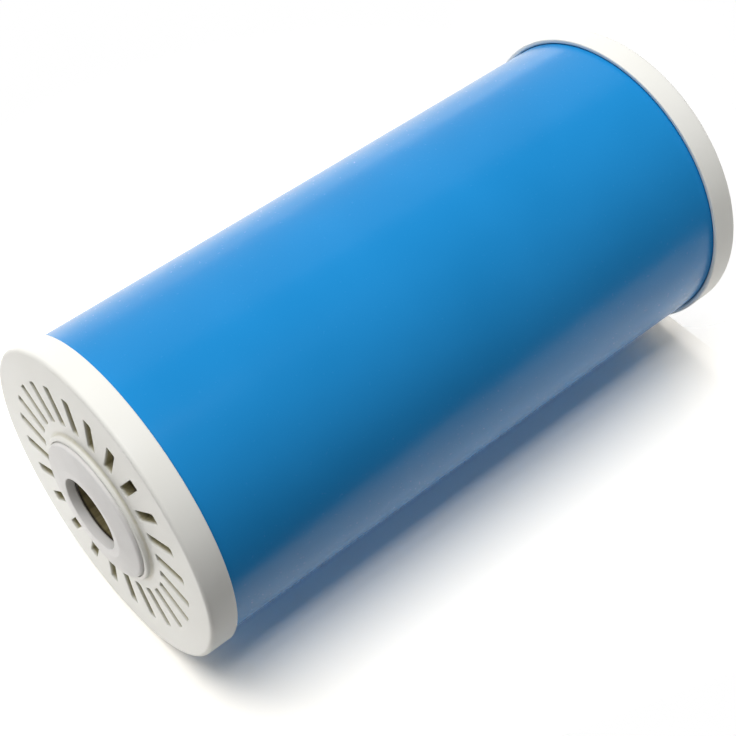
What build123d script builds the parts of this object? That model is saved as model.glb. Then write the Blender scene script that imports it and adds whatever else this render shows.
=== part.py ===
"""Granular carbon filter cartridge for a ten inch, large diameter water filter housing.

Water enters through the slots round the upper end cap, runs down through the bed of
granular carbon and leaves through the centre port of the lower end cap.

The cartridge stands on its outlet gasket. +Z runs along its axis from the outlet end
to the inlet end, and the origin is the centre of the outlet gasket's lower face.
Lengths are in millimetres.
"""
import os

from build123d import *

# Outer sizes
overall_length = 248.0
cap_diameter = 117.0
casing_wall = 2.0

# End caps, the same on both ends
cap_height = 10.1
cap_plate = 3.6
cap_edge_radius = 1.5
skirt_wall = 1.75
skirt_edge_radius = 0.4
skirt_clearance = 0.15
spigot_wall = 1.6
spigot_clearance = 0.2
port_diameter = 26.6
port_edge = 0.5

# Collar on the middle of each cap, with a shallow seat for the gasket
collar_wall = 1.5
collar_height = 2.0
collar_foot_radius = 0.9
collar_lip_radius = 0.6
seat_depth = 0.8
seat_clearance = 0.3

# Ring gaskets: a flat land round the bore seals, and from there the face falls away
gasket_diameter = 50.8
gasket_thickness = 3.5
gasket_land = 3.0
gasket_drop = 1.6
gasket_edge_radius = 1.2
gasket_bore_edge_radius = 0.4

# Inlet slots, each pointing at the axis, between the collar and the spigot
slot_count = 24
slot_collar_gap = 4.6
slot_spigot_gap = 6.1
slot_width = 3.8
slot_corner_radius = 0.8

# Closed socket moulded inside the inlet cap
socket_wall = 2.0
socket_floor = 2.0

# Soft pieces and the bed
felt_thickness = 3.0
pad_thickness = 8.0
post_filter_thickness = 4.0
disc_clearance = 0.3
bed_clearance = 0.2

# Ribs inside the outlet cap
rib_count = 12
rib_height = 2.5
rib_width = 2.0
rib_port_gap = 3.0

# Strainer on the ribs: rings of round holes, from the port out to the rim
strainer_thickness = 2.0
strainer_hole_diameter = 4.0
strainer_port_gap = 6.2
strainer_rim_gap = 7.4
strainer_ring_count = 4
holes_on_first_ring = 12
holes_added_per_ring = 6

# A fillet takes at most this share of the wall it rounds
fillet_share = 0.45
# Edges are picked by radius and height to this accuracy
same_place = 0.001

# Radii
cap_radius = cap_diameter / 2
skirt_bore_radius = cap_radius - skirt_wall
casing_radius = skirt_bore_radius - skirt_clearance
casing_bore_radius = casing_radius - casing_wall
port_radius = port_diameter / 2
gasket_radius = gasket_diameter / 2
land_radius = port_radius + gasket_land
seat_radius = gasket_radius + seat_clearance
collar_radius = seat_radius + collar_wall
spigot_radius = casing_bore_radius - spigot_clearance
spigot_bore_radius = spigot_radius - spigot_wall
disc_radius = spigot_bore_radius - disc_clearance
socket_radius = port_radius + socket_wall
slot_inner_radius = collar_radius + slot_collar_gap
slot_outer_radius = spigot_bore_radius - slot_spigot_gap
slot_length = slot_outer_radius - slot_inner_radius
slot_middle_radius = (slot_inner_radius + slot_outer_radius) / 2
first_ring_radius = port_radius + strainer_port_gap
last_ring_radius = disc_radius - strainer_rim_gap
ring_pitch = (last_ring_radius - first_ring_radius) / (strainer_ring_count - 1)

# Heights along the axis
gasket_stand = gasket_thickness - seat_depth
hub_height = collar_height + gasket_stand
outlet_face_z = hub_height
inlet_face_z = overall_length - hub_height
outlet_plate_z = outlet_face_z + cap_plate
inlet_plate_z = inlet_face_z - cap_plate
strainer_z = outlet_plate_z + rib_height
post_filter_z = strainer_z + strainer_thickness
bed_bottom_z = post_filter_z + post_filter_thickness
felt_z = inlet_plate_z - felt_thickness
bed_top_z = felt_z - pad_thickness
socket_floor_z = bed_top_z + socket_floor

INLET = 1
OUTLET = -1


def within(radius, wall):
    """A fillet radius, held inside the wall that it rounds."""
    return min(radius, wall * fillet_share)


def rims(part, radius, height):
    """The round edges of a part that have this radius and lie at this height."""
    circles = part.edges().filter_by(GeomType.CIRCLE)
    return [
        edge
        for edge in circles
        if abs(edge.radius - radius) < same_place and abs(edge.arc_center.Z - height) < same_place
    ]


def cap_outline(face_z, outward, inner_z, middle):
    """Half section of an end cap, from its port round the outside and back.

    outward is INLET or OUTLET, inner_z is how far the spigot reaches into the casing,
    and middle holds the points that close the section at the centre.
    """
    plate_z = face_z - outward * cap_plate
    lip_z = face_z + outward * collar_height
    seat_z = lip_z - outward * seat_depth
    skirt_z = face_z - outward * cap_height
    return [
        (port_radius, seat_z),
        (seat_radius, seat_z),
        (seat_radius, lip_z),
        (collar_radius, lip_z),
        (collar_radius, face_z),
        (cap_radius, face_z),
        (cap_radius, skirt_z),
        (skirt_bore_radius, skirt_z),
        (skirt_bore_radius, plate_z),
        (spigot_radius, plate_z),
        (spigot_radius, inner_z),
        (spigot_bore_radius, inner_z),
        (spigot_bore_radius, plate_z),
    ] + middle


def round_cap_edges(part, face_z, outward):
    """Round the outside edges of the end cap that is being built."""
    lip_z = face_z + outward * collar_height
    fillet(rims(part, cap_radius, face_z), within(cap_edge_radius, cap_plate))
    fillet(rims(part, cap_radius, face_z - outward * cap_height), within(skirt_edge_radius, skirt_wall))
    fillet(rims(part, collar_radius, face_z), within(collar_foot_radius, collar_height))
    fillet(rims(part, collar_radius, lip_z), within(collar_lip_radius, collar_wall))
    chamfer(rims(part, port_radius, lip_z - outward * seat_depth), within(port_edge, cap_plate))


def gasket_outline(exposed_z, outward):
    """Half section of a gasket whose sealing face is at exposed_z."""
    shoulder_z = exposed_z - outward * gasket_drop
    seated_z = exposed_z - outward * gasket_thickness
    return [
        (port_radius, exposed_z),
        (land_radius, exposed_z),
        (gasket_radius, shoulder_z),
        (gasket_radius, seated_z),
        (port_radius, seated_z),
    ]


def round_gasket_edges(part, exposed_z, outward):
    """Round the outer and the inner edge of a gasket's face."""
    shoulder_z = exposed_z - outward * gasket_drop
    fillet(rims(part, gasket_radius, shoulder_z), within(gasket_edge_radius, gasket_thickness - gasket_drop))
    fillet(rims(part, port_radius, exposed_z), within(gasket_bore_edge_radius, gasket_land))


# Inlet cap: slotted plate, skirt, spigot, collar and a closed socket
with BuildPart() as inlet_cap:
    with BuildSketch(Plane.XZ):
        with BuildLine():
            Polyline(
                *cap_outline(
                    inlet_face_z,
                    INLET,
                    bed_top_z,
                    [
                        (socket_radius, inlet_plate_z),
                        (socket_radius, bed_top_z),
                        (0, bed_top_z),
                        (0, socket_floor_z),
                        (port_radius, socket_floor_z),
                    ],
                ),
                close=True,
            )
        make_face()
    revolve(axis=Axis.Z)
    with BuildSketch(Plane.XY.offset(inlet_face_z)):
        with PolarLocations(slot_middle_radius, slot_count):
            RectangleRounded(slot_length, slot_width, within(slot_corner_radius, slot_width))
    extrude(amount=-cap_plate, mode=Mode.SUBTRACT)
    round_cap_edges(inlet_cap, inlet_face_z, INLET)

# Outlet cap: plain plate with an open port, and ribs inside that carry the strainer
with BuildPart() as outlet_cap:
    with BuildSketch(Plane.XZ):
        with BuildLine():
            Polyline(
                *cap_outline(
                    outlet_face_z,
                    OUTLET,
                    bed_bottom_z,
                    [(port_radius, outlet_plate_z)],
                ),
                close=True,
            )
        make_face()
    revolve(axis=Axis.Z)
    rib_start = port_radius + rib_port_gap
    rib_length = spigot_bore_radius - rib_start + spigot_wall / 2
    with BuildSketch(Plane.XY.offset(outlet_plate_z)):
        with PolarLocations(rib_start + rib_length / 2, rib_count):
            Rectangle(rib_length, rib_width)
    extrude(amount=rib_height)
    round_cap_edges(outlet_cap, outlet_face_z, OUTLET)

# Casing: plain tube that stands between the two cap plates
with BuildPart() as casing_tube:
    with BuildSketch(Plane.XY.offset(outlet_plate_z)):
        Circle(casing_radius)
        Circle(casing_bore_radius, mode=Mode.SUBTRACT)
    extrude(amount=inlet_plate_z - outlet_plate_z)

# Ring gaskets, each in the seat of its collar
with BuildPart() as inlet_gasket:
    with BuildSketch(Plane.XZ):
        with BuildLine():
            Polyline(*gasket_outline(overall_length, INLET), close=True)
        make_face()
    revolve(axis=Axis.Z)
    round_gasket_edges(inlet_gasket, overall_length, INLET)

with BuildPart() as outlet_gasket:
    with BuildSketch(Plane.XZ):
        with BuildLine():
            Polyline(*gasket_outline(0, OUTLET), close=True)
        make_face()
    revolve(axis=Axis.Z)
    round_gasket_edges(outlet_gasket, 0, OUTLET)

# Felt ring against the inside of the slotted plate, round the socket
with BuildPart() as inlet_felt:
    with BuildSketch(Plane.XY.offset(felt_z)):
        Circle(disc_radius)
        Circle(socket_radius + disc_clearance, mode=Mode.SUBTRACT)
    extrude(amount=felt_thickness)

# Foam ring between the felt and the bed
with BuildPart() as expansion_pad:
    with BuildSketch(Plane.XY.offset(bed_top_z)):
        Circle(disc_radius)
        Circle(socket_radius + disc_clearance, mode=Mode.SUBTRACT)
    extrude(amount=pad_thickness)

# Bed of granular carbon
with BuildPart() as carbon_bed:
    with BuildSketch(Plane.XY.offset(bed_bottom_z)):
        Circle(casing_bore_radius - bed_clearance)
    extrude(amount=bed_top_z - bed_bottom_z)

# Felt disc under the bed
with BuildPart() as post_filter:
    with BuildSketch(Plane.XY.offset(post_filter_z)):
        Circle(disc_radius)
    extrude(amount=post_filter_thickness)

# Strainer disc on the outlet cap's ribs, blank over the port
with BuildPart() as outlet_strainer:
    with BuildSketch(Plane.XY.offset(strainer_z)):
        Circle(disc_radius)
        for ring in range(strainer_ring_count):
            ring_holes = holes_on_first_ring + ring * holes_added_per_ring
            with PolarLocations(first_ring_radius + ring * ring_pitch, ring_holes):
                Circle(strainer_hole_diameter / 2, mode=Mode.SUBTRACT)
    extrude(amount=strainer_thickness)

inlet_cap.part.label = "inlet_cap"
outlet_cap.part.label = "outlet_cap"
casing_tube.part.label = "casing_tube"
inlet_gasket.part.label = "inlet_gasket"
outlet_gasket.part.label = "outlet_gasket"
inlet_felt.part.label = "inlet_felt"
expansion_pad.part.label = "expansion_pad"
carbon_bed.part.label = "carbon_bed"
post_filter.part.label = "post_filter"
outlet_strainer.part.label = "outlet_strainer"

os.makedirs("parts", exist_ok=True)
export_step(inlet_cap.part, "parts/inlet_cap.step")
export_step(outlet_cap.part, "parts/outlet_cap.step")
export_step(casing_tube.part, "parts/casing_tube.step")
export_step(inlet_gasket.part, "parts/inlet_gasket.step")
export_step(outlet_gasket.part, "parts/outlet_gasket.step")
export_step(inlet_felt.part, "parts/inlet_felt.step")
export_step(expansion_pad.part, "parts/expansion_pad.step")
export_step(carbon_bed.part, "parts/carbon_bed.step")
export_step(post_filter.part, "parts/post_filter.step")
export_step(outlet_strainer.part, "parts/outlet_strainer.step")
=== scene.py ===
# %% [markdown]
# # A granular carbon filter cartridge
# The real object is a blue plastic tube with a white moulded cap on each end and a pale
# rubber ring on each cap. Water goes in through the slots of one cap, down through a bed
# of carbon grains and out through the port of the other. We dress the engineering model
# of it: the sizes come from that model, and Blender adds edges, surfaces and light.

# %% Load the engineering model
import math

import bmesh
import bpy
import numpy as np
from mathutils import Matrix, Vector, noise


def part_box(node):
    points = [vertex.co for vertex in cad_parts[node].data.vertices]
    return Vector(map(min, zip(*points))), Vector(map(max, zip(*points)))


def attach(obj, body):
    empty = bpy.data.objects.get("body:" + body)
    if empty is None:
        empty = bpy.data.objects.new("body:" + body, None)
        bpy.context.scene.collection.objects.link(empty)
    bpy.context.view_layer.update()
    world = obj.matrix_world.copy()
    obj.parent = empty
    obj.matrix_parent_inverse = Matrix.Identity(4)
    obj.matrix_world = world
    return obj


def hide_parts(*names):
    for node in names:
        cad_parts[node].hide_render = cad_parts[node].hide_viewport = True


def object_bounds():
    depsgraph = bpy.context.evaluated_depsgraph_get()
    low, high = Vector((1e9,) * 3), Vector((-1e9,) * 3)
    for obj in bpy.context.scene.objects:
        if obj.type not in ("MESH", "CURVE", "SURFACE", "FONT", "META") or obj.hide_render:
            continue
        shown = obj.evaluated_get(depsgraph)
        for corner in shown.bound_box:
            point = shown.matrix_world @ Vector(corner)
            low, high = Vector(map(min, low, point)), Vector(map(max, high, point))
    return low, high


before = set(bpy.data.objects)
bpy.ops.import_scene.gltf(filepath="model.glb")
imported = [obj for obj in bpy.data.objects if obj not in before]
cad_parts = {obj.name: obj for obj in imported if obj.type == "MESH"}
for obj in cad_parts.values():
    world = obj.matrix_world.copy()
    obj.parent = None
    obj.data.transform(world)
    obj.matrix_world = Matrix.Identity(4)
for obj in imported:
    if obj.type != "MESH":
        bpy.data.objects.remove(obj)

MM = 0.001
cad_low, cad_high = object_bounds()
print("loaded", len(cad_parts), "nodes,", [round(v / MM, 1) for v in cad_high - cad_low], "mm")

# %% [markdown]
# ## Sizes
# A maker measures the model before starting on the looks. Every node's box gives its
# outer radius and its two ends, so most sizes need no number of their own. The few that
# a box can't tell, such as how wide a slot is, are named here once.

# %% Measure the model


def outer_radius(node):
    """The radius of a round node about the cartridge's axis."""
    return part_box(node)[1].x


def bottom(node):
    """The lower end of a node along the axis."""
    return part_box(node)[0].z


def top(node):
    """The upper end of a node along the axis."""
    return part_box(node)[1].z


cap_radius = outer_radius("inlet_cap")
casing_radius = outer_radius("casing_tube")
gasket_radius = outer_radius("inlet_gasket")
bed_radius = outer_radius("carbon_bed")
inlet_lip_z = top("inlet_cap")
outlet_lip_z = bottom("outlet_cap")
cap_inner_z = {"inlet_cap": bottom("inlet_cap"), "outlet_cap": top("outlet_cap")}
print("cap", round(cap_radius / MM, 2), "casing", round(casing_radius / MM, 2), "mm in radius")

# %% Sizes that a box can't tell
port_radius = 13.3 * MM
collar_height = 2.0 * MM
collar_wall = 1.5 * MM
seat_depth = 0.8 * MM
seat_clearance = 0.3 * MM
gasket_land = 3.0 * MM
gasket_drop = 1.6 * MM
cap_height = 10.1 * MM
cap_plate = 3.6 * MM
casing_wall = 2.0 * MM
skirt_wall = 1.75 * MM
spigot_wall = 1.6 * MM
spigot_clearance = 0.2 * MM
socket_wall = 2.0 * MM
socket_floor = 2.0 * MM
slot_count = 24
slot_width = 3.8 * MM
slot_corner = 0.8 * MM
slot_to_collar = 4.6 * MM
slot_to_spigot = 6.1 * MM
rib_count = 12
rib_width = 2.0 * MM
rib_height = 2.5 * MM
rib_to_port = 3.0 * MM

# %% Sizes that follow from these
seat_radius = gasket_radius + seat_clearance
collar_radius = seat_radius + collar_wall
casing_bore_radius = casing_radius - casing_wall
skirt_bore_radius = cap_radius - skirt_wall
spigot_radius = casing_bore_radius - spigot_clearance
spigot_bore_radius = spigot_radius - spigot_wall
socket_radius = port_radius + socket_wall
slot_start = collar_radius + slot_to_collar
slot_end = spigot_bore_radius - slot_to_spigot
rib_start = port_radius + rib_to_port
inlet_face_z = inlet_lip_z - collar_height
outlet_face_z = outlet_lip_z + collar_height
print("slots run from", round(slot_start / MM, 1), "to", round(slot_end / MM, 1), "mm")

# %% [markdown]
# ## Edges that catch the light
# No moulded edge is perfectly sharp, and a thin bright line along each edge is what tells
# the eye that a piece is plastic. We could add a Bevel modifier, but almost every piece
# here is turned about one axis, so it is simpler to draw half its section and to round
# the corners of that drawing. Next to each rounded corner goes a holding point, close to
# it, so that smooth shading stays on the corner and the flat beside it stays flat.

# %% Add points to the long stretches of a line


def split_long(points, longest):
    """The same line with extra points, so that no stretch is longer than this."""
    result = [points[0]]
    for here in points[1:]:
        parts = max(1, math.ceil((here - result[-1]).length / longest))
        start = result[-1]
        result += [start.lerp(here, part / parts) for part in range(1, parts + 1)]
    return result


# %% Draw a section with rounded corners
HOLD = 0.12 * MM
ARC_STEP = 0.25 * MM
FEWEST_STEPS = 3


def soft_section(corners, closed=True):
    """Points of a half section. Each corner is (radius, height, rounding)."""
    points = []
    for place, (radius, height, rounding) in enumerate(corners):
        corner = Vector((radius, height))
        if rounding == 0:
            points.append(corner)
            continue
        back = (Vector(corners[place - 1][:2]) - corner).normalized()
        ahead = (Vector(corners[(place + 1) % len(corners)][:2]) - corner).normalized()
        half_angle = back.angle(ahead) / 2
        reach = rounding / math.tan(half_angle)
        centre = corner + (back + ahead).normalized() * rounding / math.sin(half_angle)
        first, last = corner + back * reach - centre, corner + ahead * reach - centre
        steps = FEWEST_STEPS + round(rounding / ARC_STEP)
        points.append(corner + back * (reach + HOLD))
        points += [centre + first.slerp(last, step / steps) * rounding for step in range(steps + 1)]
        points.append(corner + ahead * (reach + HOLD))
    if closed:
        points.append(points[0])
    return points


# %% [markdown]
# ## A net of rings
# A turned piece is a stack of rings, each joined to the next by four-sided faces. A slot
# in a plate is the same idea on a small scale: rings round the slot's outline, joined to
# the edge of the plate's slice that holds it. One small class that adds rings and joins
# them makes both, and the seams are welded at the end.

# %% Collect points and faces


class Net:
    """The points and faces of a piece while it is being made."""

    def __init__(self):
        self.points = []
        self.faces = []

    def add_ring(self, ring):
        """Adds the points of a ring and returns their numbers."""
        start = len(self.points)
        self.points += [tuple(point) for point in ring]
        return list(range(start, len(self.points)))

    def join(self, rings):
        """Joins each ring to the next by faces."""
        numbers = [self.add_ring(ring) for ring in rings]
        count = len(numbers[0])
        for first, second in zip(numbers, numbers[1:]):
            for k in range(count):
                n = (k + 1) % count
                self.faces.append((first[k], first[n], second[n], second[k]))


# %% Turn a section about the axis
SEGMENTS = 288


def turned(section, segments=SEGMENTS):
    """The rings of a section that is turned about the axis."""
    angles = np.arange(segments) * 2 * math.pi / segments
    around = np.stack([np.cos(angles), np.sin(angles)], axis=1)
    return [np.column_stack([around * radius, np.full(segments, height)]) for radius, height in section]


# %% Weld a net into a piece
WELD = 0.001 * MM


def make_piece(name, net, node, finish):
    """Welds a net into a smooth mesh that stands for a node of the model."""
    mesh = bpy.data.meshes.new(name)
    mesh.from_pydata(net.points, [], net.faces)
    welded = bmesh.new()
    welded.from_mesh(mesh)
    bmesh.ops.remove_doubles(welded, verts=welded.verts, dist=WELD)
    bmesh.ops.dissolve_degenerate(welded, edges=welded.edges, dist=WELD / 10)
    bmesh.ops.recalc_face_normals(welded, faces=welded.faces)
    open_edges = sum(1 for edge in welded.edges if not edge.is_manifold)
    welded.to_mesh(mesh)
    welded.free()
    mesh.shade_smooth()
    mesh.materials.append(finish)
    piece = bpy.data.objects.new(name, mesh)
    bpy.context.scene.collection.objects.link(piece)
    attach(piece, "root")
    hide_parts(node)
    print(name, "has", len(mesh.polygons), "faces and", open_edges, "open edges")
    return piece


# %% [markdown]
# Felt, foam and grains have a surface full of hollows. A Displace modifier could press
# them in from a texture. We move the points ourselves, because a small function can say
# how deep each one goes, and none may go outwards, out of the space the model gives it.

# %% Press hollows into a piece


def roughen(piece, depth_at):
    """Moves every point of a piece into it, along its normal, by depth_at of the point."""
    normals = [vertex.normal.copy() for vertex in piece.data.vertices]
    depths = []
    for vertex, normal in zip(piece.data.vertices, normals):
        depths.append(max(0.0, depth_at(vertex.co)))
        vertex.co -= normal * depths[-1]
    print(piece.name, "is moved in by up to", round(max(depths) / MM, 2), "mm")


# %% [markdown]
# ## Finishes
# Every finish is a Principled shader with a few noise textures in front of it. They read
# the piece's own coordinates, in metres, so a texture's scale is one over the size of
# what it shows. Two small helpers keep the node work short: one adds a node and fills
# its sockets by name, the other turns a height texture into bumps.

# %% Helpers that start a finish


def add_node(tree, kind, **values):
    """Adds a node. A value is set on the socket of that name, or else on the node."""
    node = tree.nodes.new("ShaderNode" + kind)
    for key, value in values.items():
        socket = key.replace("_", " ")
        if socket in node.inputs:
            node.inputs[socket].default_value = value
        else:
            setattr(node, key, value)
    return node


def new_finish(name, **settings):
    """A material with a Principled shader, whose uniform values are set on its sockets."""
    material = bpy.data.materials.new(name)
    material.use_nodes = True
    shader = material.node_tree.nodes["Principled BSDF"]
    for key, value in settings.items():
        shader.inputs[key.replace("_", " ")].default_value = value
    place = material.node_tree.nodes.new("ShaderNodeTexCoord").outputs["Object"]
    return material, material.node_tree, shader, place


# %% Helpers for textures and colours


def grain(tree, place, size, stretch=(1, 1, 1), detail=2.0):
    """A noise texture with spots of this size, in metres, as a socket from 0 to 1."""
    mapping = add_node(tree, "Mapping")
    mapping.inputs["Scale"].default_value = [1 / (size * share) for share in stretch]
    texture = add_node(tree, "TexNoise", Scale=1.0, Detail=detail)
    tree.links.new(place, mapping.inputs["Vector"])
    tree.links.new(mapping.outputs["Vector"], texture.inputs["Vector"])
    return texture.outputs["Fac"]


def blend_colours(tree, factor, first, second, low=0.35, high=0.65):
    """A colour that goes from first to second as the factor goes from low to high."""
    ramp = add_node(tree, "ValToRGB")
    ramp.color_ramp.elements[0].position = low
    ramp.color_ramp.elements[0].color = (*first, 1)
    ramp.color_ramp.elements[1].position = high
    ramp.color_ramp.elements[1].color = (*second, 1)
    tree.links.new(factor, ramp.inputs["Fac"])
    return ramp.outputs["Color"]


# %% Helpers for factors


def spread(tree, factor, low, high):
    """The factor, from 0 to 1, moved to run from low to high."""
    scaled = add_node(tree, "MapRange")
    scaled.inputs["To Min"].default_value = low
    scaled.inputs["To Max"].default_value = high
    tree.links.new(factor, scaled.inputs["Value"])
    return scaled.outputs["Result"]


def limits(tree, value, none_at, full_at):
    """A factor that is 0 where the value is none_at and 1 where it is full_at."""
    moved = add_node(tree, "MapRange")
    moved.inputs["From Min"].default_value = none_at
    moved.inputs["From Max"].default_value = full_at
    tree.links.new(value, moved.inputs["Value"])
    return moved.outputs["Result"]


def both_of(tree, first, second):
    """The product of two factors, which is 1 only where both of them are."""
    product = add_node(tree, "Math", operation="MULTIPLY")
    tree.links.new(first, product.inputs[0])
    tree.links.new(second, product.inputs[1])
    return product.outputs[0]


def either_of(tree, first, second):
    """The larger of two factors, which is 1 where either of them is."""
    larger = add_node(tree, "Math", operation="MAXIMUM")
    tree.links.new(first, larger.inputs[0])
    tree.links.new(second, larger.inputs[1])
    return larger.outputs[0]


# %% Helpers that mix colours and add bumps


def mixed(tree, factor, first, second):
    """A mix of two colours by a factor."""
    mix = add_node(tree, "MixRGB")
    for socket, source in zip(("Fac", "Color1", "Color2"), (factor, first, second)):
        tree.links.new(source, mix.inputs[socket])
    return mix.outputs["Color"]


def add_bumps(tree, shader, *layers):
    """Gives the shader bumps. Each layer is (height texture, depth in metres)."""
    normal = None
    for height, depth in layers:
        bump = add_node(tree, "Bump", Distance=depth)
        tree.links.new(height, bump.inputs["Height"])
        if normal:
            tree.links.new(normal, bump.inputs["Normal"])
        normal = bump.outputs["Normal"]
    tree.links.new(normal, shader.inputs["Normal"])


# %% [markdown]
# ### Blue casing plastic
# The casing is an extruded tube in a strong blue. Its skin has a half-gloss, a faint
# orange peel, and long weak lines that the extruder's die leaves along the axis. Painted
# images could show them, but they need unwrapping and blur close up, while noise does
# neither. The lines are the same noise, stretched a hundredfold along Z.

# %% Blue casing finish
casing_finish, tree, shader, place = new_finish(
    "casing_blue", Specular_IOR_Level=0.18, Sheen_Weight=0.25, Sheen_Roughness=0.25
)
cloud = grain(tree, place, 45 * MM)
die_lines = grain(tree, place, 1.6 * MM, stretch=(1, 1, 110), detail=3.0)
peel = grain(tree, place, 1.1 * MM, detail=2.0)
colour = blend_colours(tree, cloud, (0.0116, 0.242, 0.586), (0.0140, 0.256, 0.616))
tree.links.new(colour, shader.inputs["Base Color"])
tree.links.new(spread(tree, peel, 0.21, 0.30), shader.inputs["Roughness"])
add_bumps(tree, shader, (die_lines, 0.004 * MM), (peel, 0.006 * MM), (cloud, 0.5 * MM))
print("the casing finish has", len(tree.nodes), "nodes")

# %% [markdown]
# ### White cap plastic
# The caps are injection moulded in a warm white, with a fine grain from the mould and
# slow waves where the plastic sank as it cooled. The cartridge has been handled, and its
# dirt is painted together with painted shade: olive dust darkened by painted shade on the
# slot walls and the cap's inside, a brown stain darkened by painted shade in the bore,
# painted shade in the joint just under the rubber ring, and a little grime with painted
# shade at the collar's foot. Each belongs to a place, so the finish finds it by two
# measures of its own coordinates, the radius and the height above the middle.

# %% White cap finish
cap_finish, tree, shader, place = new_finish("cap_white", Specular_IOR_Level=0.4)
cloud = grain(tree, place, 22 * MM)
mould_grain = grain(tree, place, 0.5 * MM)
streaks = grain(tree, place, 1.5 * MM, stretch=(1, 1, 12), detail=3.0)
clean = blend_colours(tree, cloud, (0.845, 0.836, 0.785), (0.860, 0.853, 0.808))
# Olive dust darkened with painted shade, for the cap's inside and the collar's foot.
dust_and_shade = blend_colours(tree, streaks, (0.40, 0.36, 0.20), (0.54, 0.50, 0.34), 0.3, 0.7)
# A brown stain darkened with painted shade, for the bore.
bore_stain_and_shade = blend_colours(tree, streaks, (0.13, 0.10, 0.042), (0.28, 0.24, 0.125), 0.3, 0.7)
# Painted shade, nearly black, for the joint just under the rubber ring.
joint_shade = blend_colours(tree, streaks, (0.020, 0.014, 0.008), (0.045, 0.033, 0.018))
tree.links.new(spread(tree, mould_grain, 0.33, 0.43), shader.inputs["Roughness"])
add_bumps(tree, shader, (mould_grain, 0.004 * MM), (cloud, 0.2 * MM))

# %% Measure the radius and the height above the middle
axis_parts = add_node(tree, "SeparateXYZ")
tree.links.new(place, axis_parts.inputs[0])
height = add_node(tree, "Math", operation="SUBTRACT")
tree.links.new(axis_parts.outputs["Z"], height.inputs[0])
height.inputs[1].default_value = (inlet_face_z + outlet_face_z) / 2
absolute = add_node(tree, "Math", operation="ABSOLUTE")
tree.links.new(height.outputs[0], absolute.inputs[0])
flat_place = add_node(tree, "VectorMath", operation="MULTIPLY")
flat_place.inputs[1].default_value = (1, 1, 0)
tree.links.new(place, flat_place.inputs[0])
length = add_node(tree, "VectorMath", operation="LENGTH")
tree.links.new(flat_place.outputs["Vector"], length.inputs[0])
from_middle = absolute.outputs[0]
from_axis = length.outputs["Value"]

# %% Put the dirt and the painted shade in their places
DIRT_AND_SHADE_EDGE = 0.3 * MM
DUST_AND_SHADE_DEPTH = 1.2 * MM
DUST_AND_SHADE_MARGIN = 1.0 * MM
STAIN_AND_SHADE_MARGIN = 0.6 * MM
GRIME_AND_SHADE_WIDTH = 1.6 * MM
GRIME_AND_SHADE_HEIGHT = 1.0 * MM
JOINT_HEIGHT = 0.8 * MM

face_reach = (inlet_face_z - outlet_face_z) / 2
# The cap's inside, deeper than the face, gets dust with painted shade.
behind_face = limits(tree, from_middle, face_reach - DIRT_AND_SHADE_EDGE, face_reach - DUST_AND_SHADE_DEPTH)
in_spigot = limits(tree, from_axis, spigot_radius, spigot_radius - DUST_AND_SHADE_MARGIN)
inside = both_of(tree, behind_face, in_spigot)
# The collar's foot gets grime with painted shade.
near_collar = limits(tree, from_axis, collar_radius + GRIME_AND_SHADE_WIDTH, collar_radius + DIRT_AND_SHADE_EDGE)
near_face = limits(tree, from_middle, face_reach + GRIME_AND_SHADE_HEIGHT, face_reach + DIRT_AND_SHADE_EDGE)
grime_and_shade = both_of(tree, both_of(tree, near_collar, near_face), spread(tree, streaks, 0.1, 0.9))
# The bore gets a stain with painted shade.
in_bore = limits(tree, from_axis, port_radius + STAIN_AND_SHADE_MARGIN, port_radius + DIRT_AND_SHADE_EDGE)
# Painted shade in the joint just under the rubber ring.
near_joint = limits(tree, from_middle, face_reach + DIRT_AND_SHADE_EDGE, face_reach + JOINT_HEIGHT)
outer_colour = mixed(tree, inside, mixed(tree, grime_and_shade, clean, dust_and_shade), dust_and_shade)
bore_colour = mixed(tree, near_joint, bore_stain_and_shade, joint_shade)
tree.links.new(mixed(tree, in_bore, outer_colour, bore_colour), shader.inputs["Base Color"])
print("the cap finish has", len(tree.nodes), "nodes")

# %% [markdown]
# ### Pale rubber
# The sealing rings are a soft grey rubber, a touch cooler than the caps, and duller. Thin
# rubber lets some light through, which subsurface scattering could show. These are thick
# and pale enough to do without, so a rough surface with a dull fine skin is all they get.

# %% Gasket finish
gasket_finish, tree, shader, place = new_finish("gasket_grey", Specular_IOR_Level=0.35)
cloud = grain(tree, place, 6 * MM)
skin = grain(tree, place, 0.35 * MM, detail=3.0)
colour = blend_colours(tree, cloud, (0.800, 0.782, 0.765), (0.822, 0.806, 0.790))
tree.links.new(colour, shader.inputs["Base Color"])
tree.links.new(spread(tree, skin, 0.42, 0.56), shader.inputs["Roughness"])
add_bumps(tree, shader, (skin, 0.012 * MM), (cloud, 0.05 * MM))
print("the gasket finish has", len(tree.nodes), "nodes")

# %% [markdown]
# ### Felt, foam, carbon and the strainer
# The inner pieces hide in the cartridge, and only the felt shows, through the slots. They
# get true finishes all the same, because a part of a library is taken apart and looked
# at: matted fibres, open foam cells, black grains that glint, and plain matt plastic.
# Fibres could be hair and cells could be bubbles, one by one. Two crossed noises and a
# Voronoi texture give the same look for next to nothing.

# %% Felt finish
felt_finish, tree, shader, place = new_finish("felt_olive", Roughness=0.95, Sheen_Weight=0.3)
fibres = grain(tree, place, 0.35 * MM, stretch=(5, 1, 1), detail=4.0)
crossed = grain(tree, place, 0.35 * MM, stretch=(1, 5, 1), detail=4.0)
colour = blend_colours(tree, fibres, (0.30, 0.26, 0.13), (0.50, 0.45, 0.27))
tree.links.new(colour, shader.inputs["Base Color"])
add_bumps(tree, shader, (fibres, 0.25 * MM), (crossed, 0.25 * MM))

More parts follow.
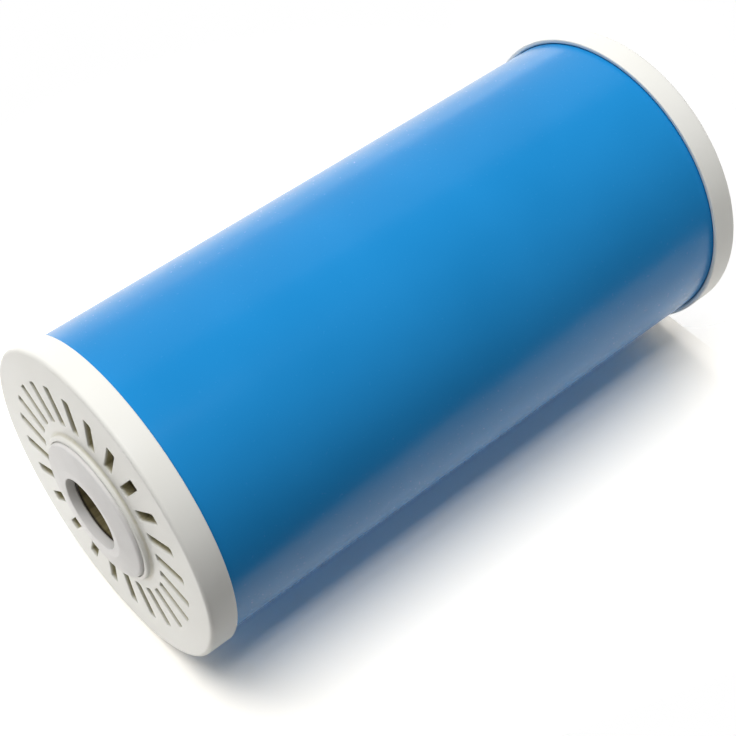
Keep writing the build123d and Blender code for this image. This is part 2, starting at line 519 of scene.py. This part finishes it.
# %% Foam finish
foam_finish, tree, shader, place = new_finish("foam_pale", Roughness=0.9)
cells = add_node(tree, "TexVoronoi", Scale=1 / (1.3 * MM))
tree.links.new(place, cells.inputs["Vector"])
colour = blend_colours(tree, cells.outputs["Distance"], (0.74, 0.73, 0.68), (0.42, 0.41, 0.38), 0.2, 0.6)
tree.links.new(colour, shader.inputs["Base Color"])
add_bumps(tree, shader, (spread(tree, cells.outputs["Distance"], 1.0, 0.0), 0.5 * MM))

# %% Carbon finish
carbon_finish, tree, shader, place = new_finish("carbon_black", Specular_IOR_Level=0.6)
grains = add_node(tree, "TexVoronoi", Scale=1 / (1.4 * MM))
tree.links.new(place, grains.inputs["Vector"])
facets = grain(tree, place, 0.5 * MM, detail=3.0)
colour = blend_colours(tree, facets, (0.008, 0.008, 0.009), (0.035, 0.035, 0.038))
tree.links.new(colour, shader.inputs["Base Color"])
tree.links.new(spread(tree, facets, 0.2, 0.8), shader.inputs["Roughness"])
add_bumps(
    tree, shader, (spread(tree, grains.outputs["Distance"], 1.0, 0.0), 0.6 * MM), (facets, 0.15 * MM)
)

# %% Strainer finish
strainer_finish, tree, shader, place = new_finish("strainer_natural", Specular_IOR_Level=0.3)
cloud = grain(tree, place, 5 * MM)
mould_grain = grain(tree, place, 0.6 * MM, detail=3.0)
colour = blend_colours(tree, cloud, (0.62, 0.62, 0.58), (0.68, 0.68, 0.64))
tree.links.new(colour, shader.inputs["Base Color"])
tree.links.new(spread(tree, mould_grain, 0.5, 0.65), shader.inputs["Roughness"])
add_bumps(tree, shader, (mould_grain, 0.02 * MM))
print("finishes:", [material.name for material in bpy.data.materials])

# %% [markdown]
# ## The casing
# A plain tube. It is turned from a ring-shaped section, with many rings along its length
# so that the wall can be moved: an extruded tube is never perfectly true, and a wave of a
# few hundredths of a millimetre is what makes a long reflection look like plastic and
# not like glass. The waves only go inwards, so the tube keeps its outer size.

# %% Turn the casing
CASING_EDGE = 0.3 * MM
CASING_WAVE = 0.05 * MM
WAVE_LENGTH = 45 * MM
CASING_STEP = 4 * MM

casing_z = bottom("casing_tube"), top("casing_tube")
section = soft_section(
    [
        (casing_bore_radius, casing_z[0], CASING_EDGE),
        (casing_radius, casing_z[0], CASING_EDGE),
        (casing_radius, casing_z[1], CASING_EDGE),
        (casing_bore_radius, casing_z[1], CASING_EDGE),
    ]
)
net = Net()
net.join(turned(split_long(section, CASING_STEP)))
casing = make_piece("blue_casing", net, "casing_tube", casing_finish)
roughen(casing, lambda point: CASING_WAVE * (1 - noise.noise(point / WAVE_LENGTH)) / 2)

# %% [markdown]
# ## The slots
# The inlet cap's plate has slots like the rays of a star. A boolean cut would make them,
# but it leaves long odd faces that shade badly. The plate is cut into equal slices in
# place of that, one for each slot: rings of points start on the slot's outline, round its
# lip, and grow into the outline of the slice. Neighbouring slices share their edges, so
# the welded plate is whole.

# %% Outline of a slot
CORNER_STEPS = 4
END_STEPS = 4
SIDE_STEPS = 8


def slot_outline(grow, height):
    """The slot's outline at a height, moved outwards by grow, clockwise from one corner."""
    middle = (slot_start + slot_end) / 2
    half = Vector(((slot_end - slot_start) / 2 - slot_corner, slot_width / 2 - slot_corner))
    reach = slot_corner + grow
    turn = math.pi / 4 / CORNER_STEPS
    corners = [Vector((-half.x, -half.y)), Vector((-half.x, half.y)), half, Vector((half.x, -half.y))]
    points = []
    for side in range(4):
        facing = math.pi - side * math.pi / 2
        start, end = corners[side], corners[(side + 1) % 4]
        steps = END_STEPS if side % 2 == 0 else SIDE_STEPS
        bend_in = [(start, facing + turn * (CORNER_STEPS - k)) for k in range(CORNER_STEPS)]
        along = [(start.lerp(end, k / steps), facing) for k in range(steps)]
        bend_out = [(end, facing - turn * k) for k in range(CORNER_STEPS)]
        for centre, angle in bend_in + along + bend_out:
            x = middle + centre.x + reach * math.cos(angle)
            points.append((x, centre.y + reach * math.sin(angle), height))
    return np.array(points)


# %% Outline of a slice


def slice_outline(inner, outer, height):
    """The edge of one slice of the plate, with as many points as the slot's outline."""
    half = math.pi / slot_count
    end_steps, side_steps = 2 * CORNER_STEPS + END_STEPS, 2 * CORNER_STEPS + SIDE_STEPS
    polar = [(inner, -half + 2 * half * k / end_steps) for k in range(end_steps)]
    polar += [(inner + (outer - inner) * k / side_steps, half) for k in range(side_steps)]
    polar += [(outer, half - 2 * half * k / end_steps) for k in range(end_steps)]
    polar += [(outer + (inner - outer) * k / side_steps, -half) for k in range(side_steps)]
    points = [(radius * math.cos(angle), radius * math.sin(angle), height) for radius, angle in polar]
    return np.array(points)


def turn_points(points, angle):
    """Points turned about the axis."""
    c, s = math.cos(angle), math.sin(angle)
    return points @ np.array([[c, s, 0], [-s, c, 0], [0, 0, 1]])


# %% Build the slotted plate
LIP = 0.3 * MM
LIP_STEPS = 4


def slotted_plate(net, upper, lower, inner, outer, outer_below, inner_below):
    """Adds a plate with its slots, from the upper face through each slot to the lower face."""
    quarter = [math.pi / 2 * k / LIP_STEPS for k in range(LIP_STEPS + 1)]
    over = [(LIP * (1 - math.sin(a)), upper - LIP * (1 - math.cos(a))) for a in quarter]
    under = [(LIP * (1 - math.cos(a)), lower + LIP * (1 - math.sin(a))) for a in quarter]
    edge_over = slice_outline(inner, outer, upper)
    edge_under = slice_outline(inner_below, outer_below, lower)
    hold_over, hold_under = slot_outline(LIP + HOLD, upper), slot_outline(LIP + HOLD, lower)
    rings = [edge_over, (edge_over + hold_over) / 2, hold_over]
    rings += [slot_outline(grow, height) for grow, height in over]
    rings += [slot_outline(0, upper - LIP - HOLD), slot_outline(0, lower + LIP + HOLD)]
    rings += [slot_outline(grow, height) for grow, height in under]
    rings += [hold_under, (edge_under + hold_under) / 2, edge_under]
    for k in range(slot_count):
        net.join([turn_points(ring, 2 * math.pi * k / slot_count) for ring in rings])


# %% [markdown]
# ## The caps
# Both caps are the same moulding but for the middle and the plate: a flat cup whose skirt
# goes over the casing and whose spigot goes into it, with a collar that holds the rubber
# ring. The section is drawn once, for a cap that faces up or down, and the inlet cap puts
# its slotted plate between the stretches of that section.

# %% Section of a cap
RIM_ROUNDING = 1.5 * MM
SKIRT_ROUNDING = 0.4 * MM
MOUTH_ROUNDING = 0.7 * MM
COLLAR_ROUNDING = 0.6 * MM
FOOT_ROUNDING = 0.9 * MM
PORT_ROUNDING = 0.6 * MM
SMALL = 0.25 * MM


def collar_section(face_z, outward, inner_radius):
    """The corners from the port's edge over the collar to the plate, at inner_radius."""
    lip_z = face_z + outward * collar_height
    seat_z = lip_z - outward * seat_depth
    return [
        (port_radius, seat_z, PORT_ROUNDING),
        (seat_radius, seat_z, SMALL),
        (seat_radius, lip_z, SMALL),
        (collar_radius, lip_z, COLLAR_ROUNDING),
        (collar_radius, face_z, FOOT_ROUNDING),
        (inner_radius, face_z, 0),
    ]


def rim_section(face_z, outward, inner_z, outer_radius, outer_below):
    """The corners from the plate round the skirt and the spigot to the plate's inside."""
    plate_z = face_z - outward * cap_plate
    skirt_z = face_z - outward * cap_height
    return [
        (outer_radius, face_z, 0),
        (cap_radius, face_z, RIM_ROUNDING),
        (cap_radius, skirt_z, SKIRT_ROUNDING),
        (skirt_bore_radius, skirt_z, MOUTH_ROUNDING),
        (skirt_bore_radius, plate_z, SMALL),
        (spigot_radius, plate_z, SMALL),
        (spigot_radius, inner_z, SMALL),
        (spigot_bore_radius, inner_z, SMALL),
        (spigot_bore_radius, plate_z, SMALL),
        (outer_below, plate_z, 0),
    ]


# %% [markdown]
# The slices with the slots keep a distance from every rounded edge: from the collar and
# the rim above, and from the slots' ends and the spigot below.

# %% Mould the inlet cap
FROM_COLLAR = 2.6 * MM
FROM_RIM = 3.0 * MM
FROM_SPIGOT = 2.0 * MM
FROM_SLOTS = 3.0 * MM

slice_inner = collar_radius + FROM_COLLAR
slice_outer = cap_radius - FROM_RIM
slice_outer_below = spigot_bore_radius - FROM_SPIGOT
slice_inner_below = slot_start - FROM_SLOTS
inlet_plate_z = inlet_face_z - cap_plate
socket_bottom_z = cap_inner_z["inlet_cap"]

net = Net()
slotted_plate(
    net, inlet_face_z, inlet_plate_z, slice_inner, slice_outer, slice_outer_below, slice_inner_below
)
socket_inside = [
    (0, socket_bottom_z + socket_floor, 0),
    (port_radius, socket_bottom_z + socket_floor, 2 * SMALL),
]
socket_and_collar = socket_inside + collar_section(inlet_face_z, 1, slice_inner)
rim = rim_section(inlet_face_z, 1, socket_bottom_z, slice_outer, slice_outer_below)
socket_outside = [
    (slice_inner_below, inlet_plate_z, 0),
    (socket_radius, inlet_plate_z, 2 * SMALL),
    (socket_radius, socket_bottom_z, 2 * SMALL),
    (0, socket_bottom_z, 0),
]
for corners in (socket_and_collar, rim, socket_outside):
    net.join(turned(soft_section(corners, closed=False)))
make_piece("slotted_cap", net, "inlet_cap", cap_finish)

# %% [markdown]
# The outlet cap has ribs inside, which hold the strainer off the plate. They could be
# blocks joined on with a boolean. It is cleaner to let the turned net itself rise: on
# each ring, the points next to a rib are moved to the rib's two straight sides, and the
# points between them are lifted to its height.

# %% Draw one ring of the ribbed floor
RIB_COLUMNS = SEGMENTS // rib_count
RIB_DRAFT = 0.1 * MM
RIB_TOP_COLUMNS = 7


def ribbed_ring(radius, lift):
    """One ring of the ribbed floor. lift is the rib's height on this ring."""
    half_turn = math.pi / rib_count
    rib_half = math.asin(rib_width / 2 / radius)
    draft = RIB_DRAFT / radius
    crest = np.linspace(-rib_half + draft, rib_half - draft, RIB_TOP_COLUMNS)
    flat_steps = (RIB_COLUMNS - RIB_TOP_COLUMNS - 1) // 2
    left = np.linspace(-half_turn, -rib_half, flat_steps + 1)
    right = np.linspace(rib_half, half_turn, flat_steps + 1)[:-1]
    angles = np.concatenate([left, crest, right])
    heights = np.concatenate([np.zeros(len(left)), np.full(len(crest), lift), np.zeros(len(right))])
    plate_z = outlet_face_z + cap_plate
    slice_points = np.column_stack([radius * np.cos(angles), radius * np.sin(angles), plate_z + heights])
    return np.concatenate([turn_points(slice_points, 2 * half_turn * k) for k in range(rib_count)])


# %% Mould the outlet cap
RIB_RINGS = 12
RIB_MARGIN = 1.0 * MM

outlet_plate_z = outlet_face_z + cap_plate
outlet_spigot_z = cap_inner_z["outlet_cap"]
floor_inner = rib_start - RIB_MARGIN
crest_radii = np.linspace(rib_start + RIB_MARGIN, spigot_bore_radius, RIB_RINGS)
half_slice = math.pi / rib_count
rib_rings = [
    ribbed_ring(floor_inner, 0),
    ribbed_ring(rib_start, 0),
    ribbed_ring(rib_start + RIB_DRAFT, rib_height),
    *[ribbed_ring(radius, rib_height) for radius in crest_radii],
]
rim_corners = rim_section(outlet_face_z, -1, outlet_spigot_z, slice_outer, slice_outer_below)
spigot_top = [(spigot_bore_radius, outlet_plate_z + rib_height + SMALL, 0)]
collar_part = [(floor_inner, outlet_plate_z, 0), (port_radius, outlet_plate_z, PORT_ROUNDING)]
outside = collar_part + collar_section(outlet_face_z, -1, slice_outer)[:-1] + rim_corners[1:-2] + spigot_top
rings = [turn_points(ring, -half_slice) for ring in turned(soft_section(outside, closed=False))]
net = Net()
net.join(rings + rib_rings[::-1] + [rings[0]])
make_piece("ported_cap", net, "outlet_cap", cap_finish)

# %% [markdown]
# ## The sealing rings
# Each is a thick washer of soft rubber that lies in the collar's seat. Its face has a flat
# land round the bore, which seals against the housing, and falls away from there to a
# well rounded outer edge. The other edges are just eased. A torus pressed flat would come
# near, but turning the true section keeps the land and the slope where the model has them.

# %% Mould the sealing rings
GASKET_ROUNDING = 0.85 * MM
GASKET_BORE_ROUNDING = 0.4 * MM
LAND_ROUNDING = 3.0 * MM
GASKET_STEP = 2 * MM


def sealing_ring(name, node, exposed_z, seated_z):
    """A gasket whose sealing face is at exposed_z."""
    outward = math.copysign(1, exposed_z - seated_z)
    section = soft_section(
        [
            (port_radius, exposed_z, GASKET_BORE_ROUNDING),
            (port_radius + gasket_land, exposed_z, LAND_ROUNDING),
            (gasket_radius, exposed_z - outward * gasket_drop, GASKET_ROUNDING),
            (gasket_radius, seated_z, SMALL),
            (port_radius, seated_z, 2 * SMALL),
        ]
    )
    net = Net()
    net.join(turned(split_long(section, GASKET_STEP)))
    return make_piece(name, net, node, gasket_finish)


sealing_ring("inlet_sealing_ring", "inlet_gasket", top("inlet_gasket"), bottom("inlet_gasket"))
sealing_ring("outlet_sealing_ring", "outlet_gasket", bottom("outlet_gasket"), top("outlet_gasket"))

# %% [markdown]
# ## Felt and foam
# The felt ring lies behind the slots, the foam ring under it, and a second felt under the
# bed. Cloth simulation would be wasted on them, since they are cut flat from sheet and
# held flat. What they need is a surface: the felt's is matted, with hollows between
# crossed bundles of fibres, and the foam's is a field of open cells. Both only go inwards,
# so the rings keep the space that the model gives them. The net's columns run together at
# the axis, and its rings have to lie closer there too, or the hollows turn into rays.

# %% Add points that lie closer near the axis
SOFT_STEP = 1.2 * MM
NEAREST_STEP = 0.3 * MM
STEP_PER_RADIUS = 0.05


def split_soft(points):
    """A section with extra points, closer together near the axis, as the net's columns are."""
    result = [points[0]]
    for here in points[1:]:
        while True:
            ahead = here - result[-1]
            step = min(SOFT_STEP, max(NEAREST_STEP, STEP_PER_RADIUS * result[-1].x))
            if ahead.length < 1.5 * step:
                break
            result.append(result[-1] + ahead.normalized() * step)
        result.append(here)
    return result


# %% Cut a soft ring
SOFT_ROUNDING = 0.7 * MM


def soft_ring(name, node, finish, inner):
    """A flat ring cut from sheet, with well eased edges and small faces all over."""
    low, high, outer = bottom(node), top(node), outer_radius(node)
    corners = [(outer, low, SOFT_ROUNDING), (outer, high, SOFT_ROUNDING)]
    if inner:
        corners += [(inner, high, SOFT_ROUNDING), (inner, low, SOFT_ROUNDING)]
    else:
        corners = [(0, low, 0)] + corners + [(0, high, 0)]
    net = Net()
    net.join(turned(split_soft(soft_section(corners, closed=bool(inner)))))
    return make_piece(name, net, node, finish)


# %% Hollows of felt and foam
FELT_HOLLOW = 0.35 * MM
FELT_BUNDLE = 1.6 * MM
FELT_STRETCH = 0.3
FOAM_CELL = 2.2 * MM
FOAM_HOLLOW = 1.1 * MM


def felt_depth(point):
    """How deep the felt's surface lies at a point, between bundles that cross."""
    place = point / FELT_BUNDLE
    one_way = abs(noise.noise(Vector((place.x * FELT_STRETCH, place.y, place.z))))
    other_way = abs(noise.noise(Vector((place.x, place.y * FELT_STRETCH, place.z + 7))))
    fuzz = 0.3 * abs(noise.noise(place * 3))
    return FELT_HOLLOW * min(1.0, 2 * min(one_way, other_way) + fuzz)


def foam_depth(point):
    """How deep the foam's surface lies at a point: deep in a cell, shallow on its walls."""
    distances = noise.voronoi(point / FOAM_CELL)[0]
    return FOAM_HOLLOW * min(1.0, 1.6 * (distances[1] - distances[0]))


# %% Cut the felt and the foam
SOCKET_CLEARANCE = 0.3 * MM
soft_bore_radius = socket_radius + SOCKET_CLEARANCE

felt_ring = soft_ring("slot_felt", "inlet_felt", felt_finish, soft_bore_radius)
roughen(felt_ring, felt_depth)
filter_disc = soft_ring("dust_felt", "post_filter", felt_finish, 0)
roughen(filter_disc, felt_depth)
foam_ring = soft_ring("foam_pad", "expansion_pad", foam_finish, soft_bore_radius)
roughen(foam_ring, foam_depth)

# %% [markdown]
# ## The carbon bed
# The bed is thousands of broken grains, one to two millimetres across, packed tight. We
# could scatter grains one by one, but only the outside of the bed can ever be seen. So the
# bed stays one solid, and each cell of a Voronoi pattern becomes the face of a grain: it
# gets a height of its own and falls away towards its edges.

# %% Hollows between the grains
GRAIN = 2.4 * MM
GRAIN_HOLLOW = 0.9 * MM
LEVEL_SHARE = 0.45
GAP_SHARE = 0.75


def grain_depth(point):
    """How deep the bed's surface lies at a point, on a grain or in the gap beside it."""
    distances, centres = noise.voronoi(point / GRAIN)
    own_height = noise.cell(centres[0] * 3)
    gap = 1 - min(1.0, 3 * (distances[1] - distances[0]))
    return GRAIN_HOLLOW * min(1.0, LEVEL_SHARE * abs(own_height) + GAP_SHARE * gap * gap)


# %% Pack the carbon bed
BED_ROUNDING = 0.5 * MM

corners = [
    (0, bottom("carbon_bed"), 0),
    (bed_radius, bottom("carbon_bed"), BED_ROUNDING),
    (bed_radius, top("carbon_bed"), BED_ROUNDING),
    (0, top("carbon_bed"), 0),
]
net = Net()
net.join(turned(split_soft(soft_section(corners, closed=False))))
bed = make_piece("granular_bed", net, "carbon_bed", carbon_finish)
roughen(bed, grain_depth)

# %% [markdown]
# ## The strainer
# The strainer is a plain disc with round holes, moulded in natural plastic. Its model is
# already the true shape, so it only gets its finish.

# %% Finish the strainer
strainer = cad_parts["outlet_strainer"]
strainer.data.materials.clear()
strainer.data.materials.append(strainer_finish)
print("strainer finished")

# %% [markdown]
# ## The studio
# In the photograph the cartridge lies on its side on a white table, under a large soft
# light. Our model stands on its outlet ring, so the photograph's table is an upright
# white card that touches the two caps, and the camera is rolled to match. A second card
# is the floor that the model stands on. Both fade out into the white backdrop, and each
# shows from its front only, so that neither hides the cartridge from a camera that goes
# round behind it.
#
# A studio table is over-exposed until it melts into the backdrop. The card does the same
# by being whiter than white to the camera and in reflections, while the light that it
# throws back on the cartridge is that of real white paper.

# %% Directions of the photograph's table
table_azimuth = math.radians(-42.1)
table_up = Vector((math.cos(table_azimuth), math.sin(table_azimuth), 0))
table_along = Vector((0, 0, 1))
table_across = table_up.cross(table_along)
middle = (cad_low + cad_high) / 2


def studio_point(across, up, along):
    """A point given by the photograph's table, from the cartridge's middle, in metres."""
    return middle + table_across * across + table_up * up + table_along * along


# %% Finish of a white card


def card_finish(name, white, seen, glow, clear_from, clear_to):
    """A matt white card, which the camera sees fade out and from its front only.

    white is how much light it throws back on the model, seen is the colour that the
    camera and reflections get, and glow is light of its own.
    """
    material = bpy.data.materials.new(name)
    material.use_nodes = True
    tree = material.node_tree
    tree.nodes.clear()
    path = add_node(tree, "LightPath").outputs
    seen_white = add_node(tree, "MixRGB", Color1=(white, white, white, 1), Color2=(*seen, 1))
    paper = add_node(tree, "BsdfDiffuse")
    shine = add_node(tree, "Emission", Color=(1, 1, 1, 1), Strength=glow)
    card = add_node(tree, "AddShader")
    tree.links.new(either_of(tree, path["Is Camera Ray"], path["Is Glossy Ray"]), seen_white.inputs["Fac"])
    tree.links.new(seen_white.outputs["Color"], paper.inputs["Color"])
    tree.links.new(paper.outputs[0], card.inputs[0])
    tree.links.new(shine.outputs[0], card.inputs[1])

    place = add_node(tree, "TexCoord").outputs["Object"]
    distance = add_node(tree, "VectorMath", operation="LENGTH")
    fade = add_node(tree, "MapRange", interpolation_type="SMOOTHSTEP")
    fade.inputs["From Min"].default_value = clear_from
    fade.inputs["From Max"].default_value = clear_to
    tree.links.new(place, distance.inputs[0])
    tree.links.new(distance.outputs["Value"], fade.inputs["Value"])
    faded = both_of(tree, fade.outputs["Result"], path["Is Camera Ray"])
    from_behind = add_node(tree, "NewGeometry").outputs["Backfacing"]

    clear = add_node(tree, "BsdfTransparent")
    mix = add_node(tree, "MixShader")
    output = add_node(tree, "OutputMaterial")
    tree.links.new(either_of(tree, faded, from_behind), mix.inputs["Fac"])
    tree.links.new(card.outputs[0], mix.inputs[1])
    tree.links.new(clear.outputs[0], mix.inputs[2])
    tree.links.new(mix.outputs[0], output.inputs["Surface"])
    return material


# %% Make a white card


def white_card(name, centre, across, facing, size, ends, finish):
    """A card as long as size, whose far side ends at one distance and runs to another."""
    mesh = bpy.data.meshes.new(name)
    half = size / 2
    corners = [(-half, -half, 0), (ends[0], -half, 0), (ends[1], half, 0), (-half, half, 0)]
    mesh.from_pydata(corners, [], [(0, 1, 2, 3)])
    mesh.materials.append(finish)
    card = bpy.data.objects.new(name, mesh)
    turn = Matrix((across, facing.cross(across), facing)).transposed().to_4x4()
    card.matrix_world = Matrix.Translation(centre) @ turn
    bpy.context.scene.collection.objects.link(card)
    return card


# %% Put up the table and the floor
CARD_SIZE = 2.4
CARD_GAP = 0.02 * MM
TABLE_ENDS = (-0.27, 0.57)

table_white = card_finish(
    "table_white", white=0.85, seen=(1.38, 1.33, 1.24), glow=0.0, clear_from=0.16, clear_to=0.24
)
table_card = white_card(
    "table_card",
    centre=studio_point(0, -cap_radius - CARD_GAP, 0),
    across=table_across,
    facing=table_up,
    size=CARD_SIZE,
    ends=TABLE_ENDS,
    finish=table_white,
)
table_card.visible_shadow = False
floor_white = card_finish(
    "floor_white", white=0.12, seen=(0.12, 0.12, 0.12), glow=0.96, clear_from=0.055, clear_to=0.105
)
floor_card = white_card(
    "floor_card",
    centre=Vector((0, 0, cad_low.z)),
    across=Vector((1, 0, 0)),
    facing=Vector((0, 0, 1)),
    size=CARD_SIZE,
    ends=(CARD_SIZE / 2, CARD_SIZE / 2),
    finish=floor_white,
)
floor_card.visible_glossy = False
floor_card.visible_diffuse = False
floor_card.visible_shadow = False
print("cards:", table_card.name, floor_card.name)

# %% [markdown]
# ### Lights
# One large soft box hangs high over the table. The edge of the tube's shadow tells how
# wide it is: the shadow gets lighter as more of the box comes into sight past the tube.
# Its strip on the viewer's side is a light of its own, so that this strip alone shows in
# reflections, as a thin bright line on the rims and not as a glare on the flat faces.
# A side box and a low strip draw the bright edge along the top of the tube, a weak fill
# opens the shade, and the rear box is for a viewer who walks round the cartridge. The
# backdrop is white to the camera but gives little light: the tube's shaded side stays
# deep blue only because that side of the studio is dark.

# %% Make a soft box


def soft_box(name, across, up, along, width, length, radiance):
    """A rectangular light that faces the cartridge's middle. Radiance 1 shows as white."""
    light = bpy.data.lights.new(name, "AREA")
    light.shape = "RECTANGLE"
    light.size, light.size_y = width, length
    light.energy = radiance * math.pi * width * length
    box = bpy.data.objects.new(name, light)
    box.location = studio_point(across, up, along)
    towards = (middle - box.location).normalized()
    side = table_along.cross(towards).normalized()
    box.rotation_euler = Matrix((side, -towards.cross(side), -towards)).transposed().to_euler()
    box.visible_camera = False
    bpy.context.scene.collection.objects.link(box)
    return box


# %% Hang the soft boxes
KEY_UP = 2.79
KEY_ALONG = 0.45
KEY_LENGTH = 2.2
SIDE_ALONG = -0.50

key_box = soft_box("key_box", -0.50, KEY_UP, KEY_ALONG, width=2.04, length=KEY_LENGTH, radiance=5.7)
key_box.visible_glossy = False
soft_box("edge_box", 0.70, KEY_UP, KEY_ALONG, width=0.36, length=KEY_LENGTH, radiance=5.9)
soft_box("side_box", -0.80, 0.55, SIDE_ALONG, width=1.2, length=0.8, radiance=0.90)
soft_box("low_box", -1.05, 0.06, SIDE_ALONG, width=0.12, length=0.8, radiance=2.0)
fill_box = soft_box("fill_box", 1.0, 0.35, SIDE_ALONG, width=1.0, length=1.0, radiance=0.12)
fill_box.visible_glossy = False
soft_box("rear_box", -0.50, -0.85, 0.2, width=0.6, length=1.2, radiance=1.0)
print("lights:", [light.name for light in bpy.data.lights])

# %% White backdrop
AMBIENT = 0.10
world = bpy.data.worlds.new("backdrop")
world.use_nodes = True
bpy.context.scene.world = world
tree = world.node_tree
tree.nodes.clear()
seen = add_node(tree, "Background", Color=(1, 1, 1, 1), Strength=1.0)
dim = add_node(tree, "Background", Color=(1, 1, 1, 1), Strength=AMBIENT)
path = add_node(tree, "LightPath")
mix = add_node(tree, "MixShader")
output = add_node(tree, "OutputWorld")
tree.links.new(path.outputs["Is Camera Ray"], mix.inputs["Fac"])
tree.links.new(dim.outputs[0], mix.inputs[1])
tree.links.new(seen.outputs[0], mix.inputs[2])
tree.links.new(mix.outputs[0], output.inputs["Surface"])
bpy.context.scene.view_settings.view_transform = "Standard"
print("backdrop:", world.name)

# %% [markdown]
# ## The camera
# The photograph was taken from the inlet end, looking down at the table. The numbers come
# from fitting the outlines of both caps in the picture. The roll is large because the
# cartridge lies in the picture and stands here.

# %% Place the camera
AIM = Vector((-10.0, -2.9, 137.6)) * MM
DISTANCE = 568.1 * MM
AZIMUTH = math.radians(16.10)
ELEVATION = math.radians(24.35)
ROLL = math.radians(-123.64)
LENS = 79.57
SENSOR_WIDTH = 36.0

lens = bpy.data.cameras.new("photo_camera")
lens.sensor_width = SENSOR_WIDTH
lens.lens = LENS
lens.clip_start, lens.clip_end = 0.01, 20.0
camera = bpy.data.objects.new("photo_camera", lens)
bpy.context.scene.collection.objects.link(camera)
bpy.context.scene.camera = camera

backward = Vector(
    (
        math.sin(AZIMUTH) * math.cos(ELEVATION),
        -math.cos(AZIMUTH) * math.cos(ELEVATION),
        math.sin(ELEVATION),
    )
)
level_right = Vector((0, 0, 1)).cross(backward).normalized()
level_up = backward.cross(level_right)
up = math.cos(ROLL) * level_up - math.sin(ROLL) * level_right
right = up.cross(backward)
turn = Matrix((right, up, backward)).transposed().to_4x4()
camera.matrix_world = Matrix.Translation(AIM + backward * DISTANCE) @ turn
print("camera at", [round(v / MM, 1) for v in camera.matrix_world.translation], "mm")
